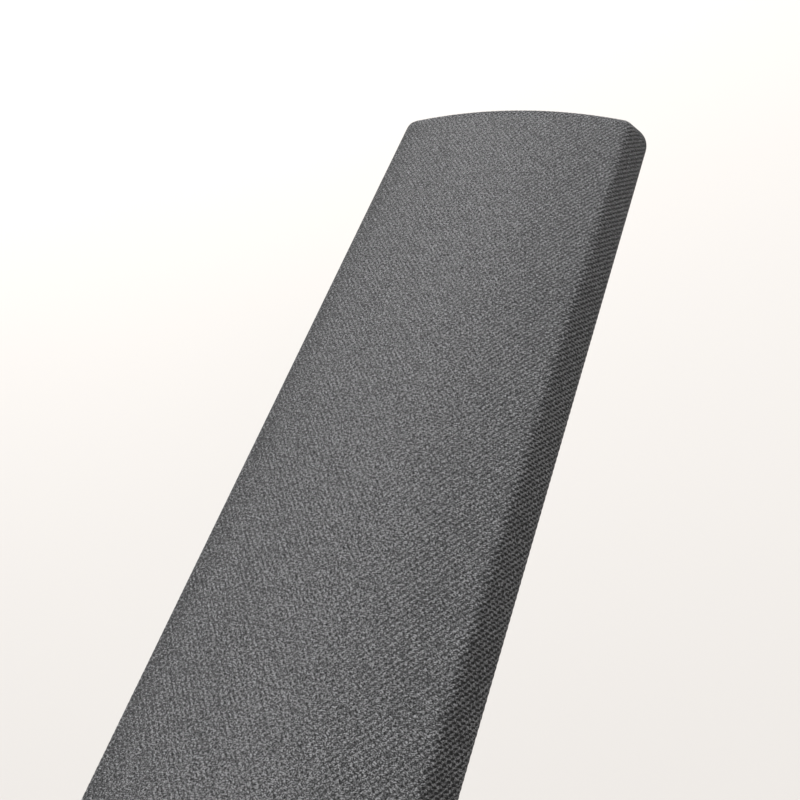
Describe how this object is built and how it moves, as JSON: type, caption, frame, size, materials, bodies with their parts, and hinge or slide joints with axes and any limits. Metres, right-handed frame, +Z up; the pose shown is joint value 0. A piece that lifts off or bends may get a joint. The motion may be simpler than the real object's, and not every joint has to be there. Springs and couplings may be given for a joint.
{
  "type": "chair armrest pad",
  "caption": "Padded armrest top for an office chair: bevelled foam cushion on a plywood core, wrapped in woven cloth, with a moulded base cover and threaded fixings.",
  "frame": {"origin": "centre of the base cover's underside, the face that the arm bracket clamps, which is also the bottom centre of the bounding box", "axes": "+Y along the pad's length, +X across its width, +Z up out of the cushion's top"},
  "size_m": [0.09, 0.268, 0.026],
  "materials": {
    "cover_cloth": "dark grey diagonal weave, matte",
    "wadding_fibre": "white polyester fibre",
    "foam": "open-cell moulded foam",
    "plywood": "sanded birch plywood",
    "zinc_steel": "zinc plated",
    "staple_wire": "galvanised wire",
    "base_plastic": "fine spark texture, black",
    "screw_steel": "black phosphate"
  },
  "bodies": {
    "root": {"fabric_cover": "cover_cloth", "wadding": "wadding_fibre", "foam_pad": "foam", "core_board": "plywood", "t_nuts": "zinc_steel", "hem_staples": "staple_wire", "base_cover": "base_plastic", "cover_screws": "screw_steel"}
  },
  "joints": []
}
